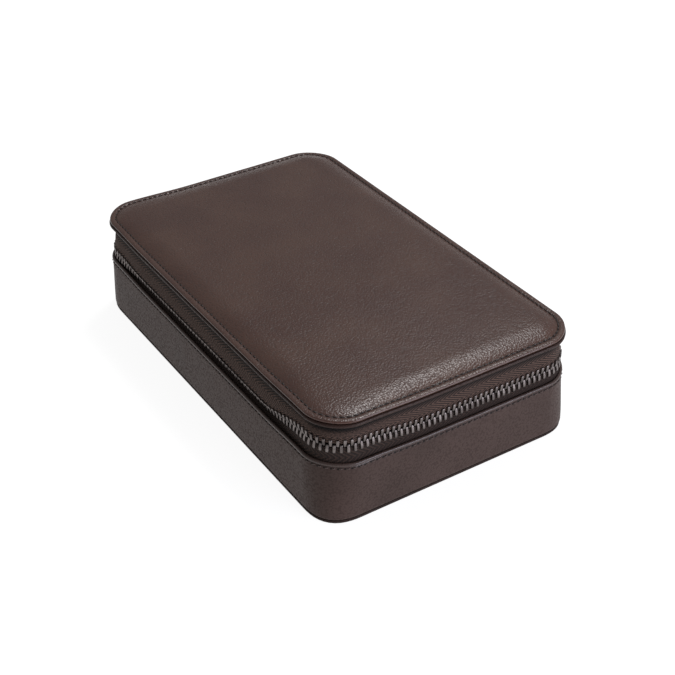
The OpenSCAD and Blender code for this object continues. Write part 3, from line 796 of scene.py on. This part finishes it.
def hinge_spine():
    """The spine's leather strip between the base and the lid, drawn as it lies when the case is shut."""
    strip_t = 1.1 * MM
    outer = CHAIN_IN + TAPE_T / 2 - strip_t
    margin_back = TAPE_MARGIN_IN + TAPE_T
    lid_back = LID_MARGIN_IN + TAPE_T
    low, rim = RIM_Z - TAPE_MARGIN, RIM_Z - RIM_R
    rows = 20
    face_low, face_high = RIM_Z + TAPE_BEND, BINDING_LOW - TAPE_BEND
    spread = [face_low + (face_high - face_low) * i / rows for i in range(rows + 1)]
    bulge = 0.5 * MM
    front = [(outer - bulge * sin(pi * i / rows), z) for i, z in enumerate(spread)]
    behind = [(inset + strip_t, z) for inset, z in reversed(front)]
    profile = (
        [(TAPE_MARGIN_IN, low), (TAPE_MARGIN_IN, rim)] + front
        + [(LID_MARGIN_IN, BINDING_LOW), (LID_MARGIN_IN, BINDING_TOP)]
        + [(lid_back, BINDING_TOP), (lid_back, BINDING_LOW)]
        + behind + [(margin_back, rim), (margin_back, low)]
    )
    end = ZIP_END_X - 0.15 * MM
    obj = swept("hinge_spine_leather", hinge_stretch(-end, end, 2 * MM), profile)
    finished(obj, None, "leather", pebbled_leather("pebbled_leather_spine"), "hinge_spine")
    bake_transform(obj)
    return obj


# The zip


def lower_tape_profile():
    """The tape behind the rim and up to the chain."""
    outer = CHAIN_IN - TAPE_T / 2
    low, rim = RIM_Z - TAPE_MARGIN, RIM_Z - RIM_R
    bend, top = RIM_Z + TAPE_BEND, CHAIN_LOW + TAPE_GRIP
    outside = [
        (TAPE_MARGIN_IN, low), (TAPE_MARGIN_IN, rim), (outer, bend), (outer, (bend + top) / 2), (outer, top),
    ]
    return outside + [(inset + TAPE_T, z) for inset, z in reversed(outside)]


def upper_tape_profile():
    """The tape from the chain up to its seam, drawn in under the lid."""
    outer = CHAIN_IN - TAPE_T / 2
    low, bend = CHAIN_TOP - TAPE_GRIP, BINDING_LOW - TAPE_BEND
    rows = 8
    levels = [low + (bend - low) * i / rows for i in range(rows + 1)]
    grooved = [(outer + TAPE_GROOVE * (i / rows) ** 3, z) for i, z in enumerate(levels)]
    outside = grooved + [(TAPE_TUCK_IN, BINDING_LOW), (LID_MARGIN_IN, BINDING_TOP)]
    return outside + [(inset + TAPE_T, z) for inset, z in reversed(outside)]


def settled(point):
    """Where a point of the zip comes to lie when the case is shut.

    The chain rides up round the right front corner, where it bends hardest. Along the front it sinks to
    the rim and turns under the fuller upper tape. Both fade out at the rim and at the lid's edge."""
    half = (CHAIN_TOP - CHAIN_LOW) / 2
    middle = CHAIN_LOW + half
    up = 0.0
    if point.z > CHAIN_TOP:
        hold = eased((BINDING_LOW - point.z) / (BINDING_LOW - CHAIN_TOP))
    else:
        hold = eased((point.z - RIM_Z) / (CHAIN_LOW - RIM_Z))
    if point.x > 0:
        up = CORNER_LIFT * near_front_corner(point) * hold
    if point.y < -SIDE_Y or point.x < -SIDE_X:
        sunk = eased((SIDE_X - point.x) / LEAN_REACH) * (1 - eased((point.y + SIDE_Y) / DROP_REACH))
        up -= FRONT_DROP * sunk * hold
    out = 0.0
    if point.y < -SIDE_Y:
        lean = FRONT_LEAN * eased((SIDE_X - abs(point.x)) / LEAN_REACH)
        above = min(half, max(-half, point.z - middle))
        out = above * sin(lean) * hold
        up += above * (cos(lean) - 1) * hold
    return point + Vector((0, -out, up))


def settle(obj):
    """Lets a finished part of the zip come to lie."""
    for vert in obj.data.vertices:
        vert.co = settled(vert.co)
    return obj


def sewn_at(profile):
    """The v where the upper tape meets the binding."""
    return profile_length(profile, next(i for i, (_, z) in enumerate(profile) if z >= BINDING_LOW))


def zip_tapes(tape, shaded_tape):
    """The tapes. The lower one's ribs are painted darker, as painted shade under the rim."""
    lower = settle(swept("zip_tape_base", zip_round(TAPE_STEP), lower_tape_profile()))
    finished(lower, "base", "zip_tape", shaded_tape, "zip_tape_lower")
    upper = settle(swept("zip_tape_lid", zip_three_sides(TAPE_STEP), upper_tape_profile()))
    finished(upper, "lid", "zip_tape", tape, "zip_tape_upper")
    for side, name in ((-1, "left"), (1, "right")):
        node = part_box(f"zip_tape_end_{name}")
        stops = hinge_stretch(node[0][0], node[1][0], TAPE_STEP)
        # The weave runs on from the lid's tape
        begins = node[0][0] - node[1][0] if side > 0 else path_length(zip_three_sides(TAPE_STEP), CHAIN_IN)
        piece = swept(f"zip_tape_bend_{name}", stops, upper_tape_profile(), start=begins)
        finished(piece, None, "zip_tape", tape, f"zip_tape_end_{name}")
        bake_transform(piece)


def tooth(height):
    """One zip tooth, head down at the origin: lofted rounded bars, thinner at the head."""
    sections = (
        (0.0, 0.62, 0.5), (0.06, 0.86, 0.6), (0.16, 0.98, 0.66), (0.42, 0.95, 0.86), (0.6, 1.0, 1.0),
        (0.94, 1.0, 1.0), (1.0, 0.86, 0.9),
    )
    cut = 0.24
    rings = []
    for share, wide, deep in sections:
        half_w, half_t = TOOTH_W / 2 * wide, TOOTH_T / 2 * deep
        c = cut * min(half_w, half_t)
        outline = [
            (half_w - c, half_t), (half_w, half_t - c), (half_w, c - half_t), (half_w - c, -half_t),
            (c - half_w, -half_t), (-half_w, c - half_t), (-half_w, half_t - c), (c - half_w, half_t),
        ]
        rings.append([(x, y, share * height) for x, y in outline])
    return lofted("tooth", rings)


def pieces_along_a_path():
    """The node tree that sets a piece at even steps along a curve, each turned a little at random."""
    tree = bpy.data.node_groups.new("pieces_along_a_path", "GeometryNodeTree")
    sockets = {
        "Path": "NodeSocketObject", "Piece": "NodeSocketObject", "Material": "NodeSocketMaterial",
        "Count": "NodeSocketInt", "First": "NodeSocketFloat", "Step": "NodeSocketFloat",
        "Sway": "NodeSocketFloat", "Seed": "NodeSocketInt",
    }
    for name, kind in sockets.items():
        tree.interface.new_socket(name=name, in_out="INPUT", socket_type=kind)
    tree.interface.new_socket(name="Geometry", in_out="OUTPUT", socket_type="NodeSocketGeometry")
    given = add(tree, "NodeGroupInput").outputs
    index = add(tree, "GeometryNodeInputIndex").outputs[0]
    walked = add(tree, "ShaderNodeMath", {0: index, 1: given["Step"], 2: given["First"]},
                 operation="MULTIPLY_ADD").outputs[0]
    path = add(tree, "GeometryNodeObjectInfo", {"Object": given["Path"]}).outputs["Geometry"]
    sample = add(tree, "GeometryNodeSampleCurve", {"Curves": path, "Length": walked}, mode="LENGTH")
    places = {"Count": given["Count"], "Position": sample.outputs["Position"]}
    points = add(tree, "GeometryNodePoints", places)
    along = add(tree, "FunctionNodeAlignRotationToVector", {"Vector": sample.outputs["Tangent"]},
                axis="X", pivot_axis="Z").outputs[0]
    less = add(tree, "ShaderNodeMath", {0: given["Sway"], 1: -1.0}, operation="MULTIPLY").outputs[0]
    sway = add(tree, "FunctionNodeRandomValue", {"Min": less, "Max": given["Sway"], "Seed": given["Seed"]})
    swing = add(tree, "FunctionNodeEulerToRotation", {0: sway.outputs[0]}).outputs[0]
    turned = add(tree, "FunctionNodeRotateRotation", {0: along, 1: swing}, rotation_space="LOCAL").outputs[0]
    piece = add(tree, "GeometryNodeObjectInfo", {"Object": given["Piece"]}).outputs["Geometry"]
    placed = add(tree, "GeometryNodeInstanceOnPoints",
                 {"Points": points.outputs[0], "Instance": piece, "Rotation": turned}).outputs[0]
    whole = add(tree, "GeometryNodeRealizeInstances", {0: placed}).outputs[0]
    painted = add(tree, "GeometryNodeSetMaterial", {"Geometry": whole, "Material": given["Material"]})
    add(tree, "NodeGroupOutput", {0: painted.outputs[0]})
    return tree


def path_curve(stops, inset, z, pulled=None):
    """A poly curve along stops at an inset and a height, moved as the leather that it lies on is."""
    curve = bpy.data.curves.new("path", "CURVE")
    curve.dimensions = "3D"
    spline = curve.splines.new("POLY")
    spline.points.add(len(stops) - 1)
    for point, (centre, normal) in zip(spline.points, stops):
        flat = spot(centre, normal, inset)
        place = Vector((flat.x, flat.y, z))
        if pulled:
            place = pulled(place, Vector((normal.x, normal.y, 0)))
        point.co = (*place, 1)
    obj = bpy.data.objects.new("path", curve)
    COLLECTION.objects.link(obj)
    return obj


def row(name, tree, path, piece, material, count, first, step, sway, seed):
    """A row of pieces along a path as one plain mesh. The path and the piece are removed."""
    host = bpy.data.objects.new(name, bpy.data.meshes.new(name))
    COLLECTION.objects.link(host)
    modifier = host.modifiers.new("row", "NODES")
    modifier.node_group = tree
    values = {
        "Path": path, "Piece": piece, "Material": material, "Count": count, "First": first, "Step": step,
        "Sway": sway, "Seed": seed,
    }
    for item in tree.interface.items_tree:
        if item.in_out == "INPUT":
            modifier[item.identifier] = values[item.name]
    bpy.context.view_layer.update()
    applied(host)
    bpy.data.objects.remove(path)
    bpy.data.objects.remove(piece)
    return creased(host, TOOTH_CREASE)


def join_rows(name, rows):
    """One object from several rows."""
    data = bmesh.new()
    for item in rows:
        data.from_mesh(item.data)
    material = rows[0].data.materials[0]
    for item in rows:
        bpy.data.objects.remove(item)
    obj = mesh_object(name, data)
    obj.data.materials.append(material)
    return creased(obj, TOOTH_CREASE)


def flipped(obj):
    """Turns a piece upside down with its faces still outwards."""
    obj.data.transform(Matrix.Rotation(pi, 4, "X"))
    return obj


def zip_teeth(tree, metal):
    """Both rows of teeth, short at the two ends, so that the slider's post passes between them."""
    stops = zip_round(FINE_STEP)
    length = path_length(stops, CHAIN_IN)
    end_length = SIDE_X - ZIP_END_X
    count = int(length / TOOTH_PITCH)
    step = length / count
    chain_w = CHAIN_TOP - CHAIN_LOW
    full = (chain_w + TOOTH_OVERLAP) / 2
    short = (chain_w - POST_GAP) / 2
    clear = TOOTH_W / 2 + 0.15 * MM
    sway = radians(1.6)

    def stretch(name, phase, height, upper, test):
        places = [i for i in range(STOP_TEETH, count - STOP_TEETH) if test((i + phase) * step)]
        z = CHAIN_TOP - height if upper else CHAIN_LOW + height
        path = path_curve(stops, CHAIN_IN, z)
        piece = tooth(height)
        if not upper:
            flipped(piece)
        return row(name, tree, path, piece, metal, len(places), (places[0] + phase) * step, step, sway, 7)

    def in_middle(s):
        return end_length <= s <= length - end_length

    lower = join_rows("zip_teeth_base", [
        stretch("a", 0.25, short, False, lambda s: s < end_length),
        stretch("b", 0.25, full, False, in_middle),
        stretch("c", 0.25, short, False, lambda s: s > length - end_length),
    ])
    finished(settle(lower), "base", "zip_metal", metal, "zip_teeth_lower")
    opening = (end_length + clear, length - end_length - clear)
    upper = stretch("zip_teeth_lid", 0.75, full, True, lambda s: opening[0] < s < opening[1])
    finished(settle(upper), "lid", "zip_metal", metal, "zip_teeth_upper")
    ends = join_rows("zip_teeth_at_ends", [
        stretch("d", 0.75, short, True, lambda s: s < end_length - clear),
        stretch("e", 0.75, short, True, lambda s: s > length - end_length + clear),
    ])
    finished(ends, "base", "zip_metal", metal, "zip_teeth_ends")


def dressed_copy(name, node, body, slot, material, bevel, segments=2):
    """A node's own shape with its edges rounded."""
    data = bmesh.new()
    data.from_mesh(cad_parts[node].data)
    bmesh.ops.remove_doubles(data, verts=data.verts, dist=1e-6)
    bmesh.ops.dissolve_limit(data, angle_limit=radians(1), verts=data.verts, edges=data.edges)
    obj = mesh_object(name, data)
    modifier = obj.modifiers.new("rounded", "BEVEL")
    modifier.width = bevel
    modifier.segments = segments
    modifier.limit_method = "ANGLE"
    modifier.angle_limit = radians(30)
    modifier.harden_normals = True
    return finished(creased(applied(obj), 35), body, slot, material, node)


def slider_and_pull(metal):
    """The slider, its pin and pull and the zip's stops, each with its edges rounded by so many mm."""
    for name, node, body, bevel in (
        ("slider_cast", "slider_body", "slider", 0.25),
        ("slider_rivet", "slider_pin", "slider", 0.12),
        ("pull_tab_cast", "pull_tab", "pull", 0.3),
        ("zip_stops_top", "zip_top_stops", "base", 0.2),
        ("zip_stop_bottom", "zip_bottom_stop", "base", 0.2),
    ):
        dressed_copy(name, node, body, "zip_metal", metal, bevel * MM)


# Stitching


def stitch_step(inset):
    """The even step of the stitches round a line of an inset."""
    length = path_length(whole_round(FINE_STEP), inset)
    return length / round(length / STITCH_PITCH)


def stitch_shape(out, length):
    """One stitch along X: a thread that rises from one hole and dips into the next. out is its way up."""
    sections, sides = 9, 6
    r = THREAD_W / 2
    rings = []
    for i in range(sections):
        t = i / (sections - 1) * 2 - 1
        x = length / 2 * t
        lift = r * (0.75 - 1.9 * abs(t) ** 3.5)
        thin = r * (1 - 0.45 * t ** 4)
        angles = [pi * 2 * k / sides for k in range(sides)]
        rings.append([(x, thin * cos(a), thin * 0.85 * sin(a) + lift) for a in angles])
    obj = lofted("stitch", rings)
    if out == "side":
        obj.data.transform(Matrix.Rotation(radians(-90), 4, "X"))
    return obj


def stitching(tree, lid_thread, rim_thread):
    """The row of stitches round the lid and the one under the rim."""
    sway = radians(2.5)
    stops = whole_round(FINE_STEP)
    lid_line = LID_IN + LID_STITCH_IN + THREAD_W / 2
    rows = (
        ("lid_stitches", "lid", "lid_stitching", lid_line, STITCH_Z - 0.12 * MM, pulled_lid, "up",
         LID_STITCH_L, lid_thread),
        ("rim_stitches", "base", "wall_stitching", WALL_IN, RIM_STITCH_Z, pulled_base, "side",
         RIM_STITCH_L, rim_thread),
    )
    for name, body, node, inset, z, pulled, out, length, thread in rows:
        step = stitch_step(inset)
        count = round(path_length(stops, inset) / step)
        path = path_curve(stops, inset, z, pulled)
        piece = stitch_shape(out, length)
        obj = row(name, tree, path, piece, thread, count, step / 2, step, sway, 3)
        finished(obj, body, "thread", thread, node)


# Inside


def tray(suede):
    """The suede that covers the tray's wall, inside, over its top and down outside."""
    low, top = TRAY[0][2], TRAY[1][2]
    r = (TRAY_INSIDE - TRAY_IN) / 2
    mid = (low + top) / 2
    high = r * 0.7
    arch = arc(TRAY_IN + r, top - high, r, high, 0, 180, 9)
    profile = [(TRAY_INSIDE, low), (TRAY_INSIDE, mid)] + arch + [(TRAY_IN, mid), (TRAY_IN, low)]

    def ripple(point, normal, inset):
        return point + normal * soft(point, 15 * MM, 0.06 * MM)

    obj = swept("tray_suede", whole_round(LINING_STEP), profile, ring=True, ripple=ripple)
    finished(obj, "base", "suede_lining", suede, "tray_lining")


def panel(name, body, node, suede, low_edge, edge, high, low_middle):
    """A lined panel with a rounded edge, swelling a little downwards or upwards in its middle."""
    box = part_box(node)
    inset = CASE_L / 2 - box[1][0]
    middle = CASE_W / 2
    steps = 8
    profile = [
        (middle + (inset + edge - middle) * i / steps,
         low_middle + (low_edge - low_middle) * (i / steps) ** 6) for i in range(steps + 1)
    ]
    profile += [(inset, low_edge + (high - low_edge) * 0.4), (inset + edge * 0.3, high), (middle, high)]
    obj = swept(name, whole_round(LINING_STEP), profile, ring=True, shut_profile=False)
    return finished(obj, body, "suede_lining", suede, node)


def panels(suede):
    """The lid's lining, the floor's and the two dividers."""
    low, high = LID_LINING[0][2], LID_LINING[1][2]
    panel("lid_suede", "lid", "lid_lining", suede, low + 0.35 * MM, 2 * MM, high, low)
    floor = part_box("floor_lining")
    panel("floor_suede", "base", "floor_lining", suede, floor[0][2], 0.4 * MM, floor[1][2], floor[0][2])
    for node in ("divider_long", "divider_cross"):
        dressed_copy(f"{node}_suede", node, "base", "suede_lining", suede, 0.9 * MM, 3)


def cushion_form(box):
    """The cushion's shape before it is filled: a rounded block with room to swell."""
    low, high = Vector(box[0]), Vector(box[1])
    inset, edge_r = 1.6 * MM, 6 * MM
    data = bmesh.new()
    bmesh.ops.create_cube(data, size=1)
    size = high - low - Vector((inset, inset, inset)) * 2
    for vert in data.verts:
        vert.co = Vector(vert.co[i] * size[i] for i in range(3)) + (low + high) / 2
    bmesh.ops.bevel(data, geom=data.edges[:], offset=edge_r, segments=4, affect="EDGES", profile=0.5)
    return mesh_object("cushion", data)


def filled(obj):
    """Swells a closed form as a stuffed cushion, and holds each point near where it began."""
    most, pressure, frames = 1.3 * MM, 4, 20
    voxel = obj.modifiers.new("voxel", "REMESH")
    voxel.mode = "VOXEL"
    voxel.voxel_size = 2.4 * MM
    applied(obj)
    start = [v.co.copy() for v in obj.data.vertices]
    cloth = obj.modifiers.new("cloth", "CLOTH")
    cloth.settings.use_pressure = True
    cloth.settings.uniform_pressure_force = pressure
    cloth.settings.effector_weights.gravity = 0
    cloth.point_cache.frame_start = 1
    cloth.point_cache.frame_end = frames
    for number in range(1, frames + 1):
        SCENE.frame_set(number)
    applied(obj)
    SCENE.frame_set(1)
    for vert, place in zip(obj.data.vertices, start):
        moved = vert.co - place
        if moved.length > most:
            vert.co = place + moved.normalized() * most
    return obj


def crowned(obj, box):
    """Gives the cushion its crown along X, drawn-in ends and a flat underside."""
    fall, side_fall, taper, gap = 3.6 * MM, 1.2 * MM, 0.05, 0.05 * MM
    low, high = Vector(box[0]), Vector(box[1])
    centre = (low + high) / 2
    half = (high - low) / 2
    for vert in obj.data.vertices:
        x = (vert.co.x - centre.x) / half.x
        y = (vert.co.y - centre.y) / half.y
        up = (vert.co.z - low.z) / (high.z - low.z)
        vert.co.z -= fall * x * x * up
        vert.co.y = centre.y + (vert.co.y - centre.y) * (1 - taper * x * x)
        vert.co.z -= side_fall * y * y * y * y * up
        vert.co.z = max(vert.co.z, low.z + gap)
    return obj


def shrunk(obj, depth):
    """The form of a closed piece, set in by a depth."""
    data = bmesh.new()
    data.from_mesh(obj.data)
    for vert in data.verts:
        vert.co -= vert.normal * depth
    return data


def cushions(suede, foam):
    """Four stuffed cushions, each sewn from a sleeve and two end panels with piped seams."""
    for number in range(1, 5):
        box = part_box(f"cushion_cover_{number}")
        obj = crowned(filled(cushion_form(box)), box)
        smooth = obj.modifiers.new("smooth", "SUBSURF")
        smooth.levels = 1
        smooth.render_levels = 1
        applied(obj)
        obj.name = f"cushion_{number}_suede"
        obj.data.name = obj.name
        obj.data.shade_smooth()
        finished(obj, f"cushion_{number}", "suede_lining", suede, f"cushion_cover_{number}")
        fill = mesh_object(f"cushion_{number}_fill", shrunk(obj, COVER_T))
        finished(fill, f"cushion_{number}", "foam", foam, f"cushion_foam_{number}")
        seams = cushion_seams(obj, box, number)
        finished(seams, f"cushion_{number}", "suede_lining", suede)


def cushion_seams(obj, box, number):
    """Piping where each end panel is sewn to the sleeve, laid on the cushion's own surface."""
    low, high = Vector(box[0]), Vector(box[1])
    centre = (low + high) / 2
    from_end, outside = 8 * MM, 60 * MM
    r, count = 0.55 * MM, 72
    data = bmesh.new()
    for x in (low.x + from_end, high.x - from_end):
        ring = []
        for k in range(count):
            a = pi * 2 * k / count
            way = Vector((0, cos(a), sin(a)))
            start = Vector((x, centre.y, centre.z))
            hit, place, normal, _ = obj.ray_cast(start + way * outside, -way)
            if not hit:
                continue
            out = Vector((0, normal.y, normal.z)).normalized()
            ring.append((place - out * r * 0.35, out))
        tube(data, ring, r)
    bmesh.ops.recalc_face_normals(data, faces=data.faces)
    return mesh_object(f"cushion_{number}_piping", data)


def tube(data, ring, r, sides=8):
    """A closed tube round a ring of (point, way out), added to a bmesh."""
    loops = []
    for i, (point, out) in enumerate(ring):
        ahead = (ring[(i + 1) % len(ring)][0] - ring[i - 1][0]).normalized()
        side = ahead.cross(out).normalized()
        loops.append([
            data.verts.new(point + (out * cos(a) + side * sin(a)) * r)
            for a in [pi * 2 * k / sides for k in range(sides)]
        ])
    for i, here in enumerate(loops):
        there = loops[(i + 1) % len(loops)]
        for k in range(sides):
            data.faces.new((here[k], here[(k + 1) % sides], there[(k + 1) % sides], there[k])).smooth = True


def hidden_layers(board, foam):
    """The boards and foam inside keep their solids, with their own materials."""
    layers = {
        board: ("floor_board", "wall_board", "tray_wall", "lid_board"),
        foam: ("floor_pad", "lid_foam", "lid_lining_pad"),
    }
    for material, nodes in layers.items():
        for node in nodes:
            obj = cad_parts[node]
            obj.data.materials.clear()
            obj.data.materials.append(material)


set_camera()
set_studio()

base_leather()
bottom_leather()
lid_leather()
lid_binding()
hinge_spine()

TAPE = herringbone_tape("herringbone_polyester_tape", "#5d483f", sewn_at(upper_tape_profile()))
# The lower tape's darker ribs are painted shade under the rim
SHADED_TAPE = herringbone_tape("rubbed_polyester_tape", "#33251f")
METAL = antique_nickel()
LID_THREAD = waxed_thread("waxed_thread", "#120b09", "#2c1f1a")
RIM_THREAD = waxed_thread("worn_waxed_thread", "#281b17", "#43332d")
SUEDE = microsuede("brushed_microsuede")
FOAM = cut_foam()
ROWS = pieces_along_a_path()

zip_tapes(TAPE, SHADED_TAPE)
zip_teeth(ROWS, METAL)
slider_and_pull(METAL)
stitching(ROWS, LID_THREAD, RIM_THREAD)
tray(SUEDE)
panels(SUEDE)
cushions(SUEDE, FOAM)
hidden_layers(grey_board(), FOAM)
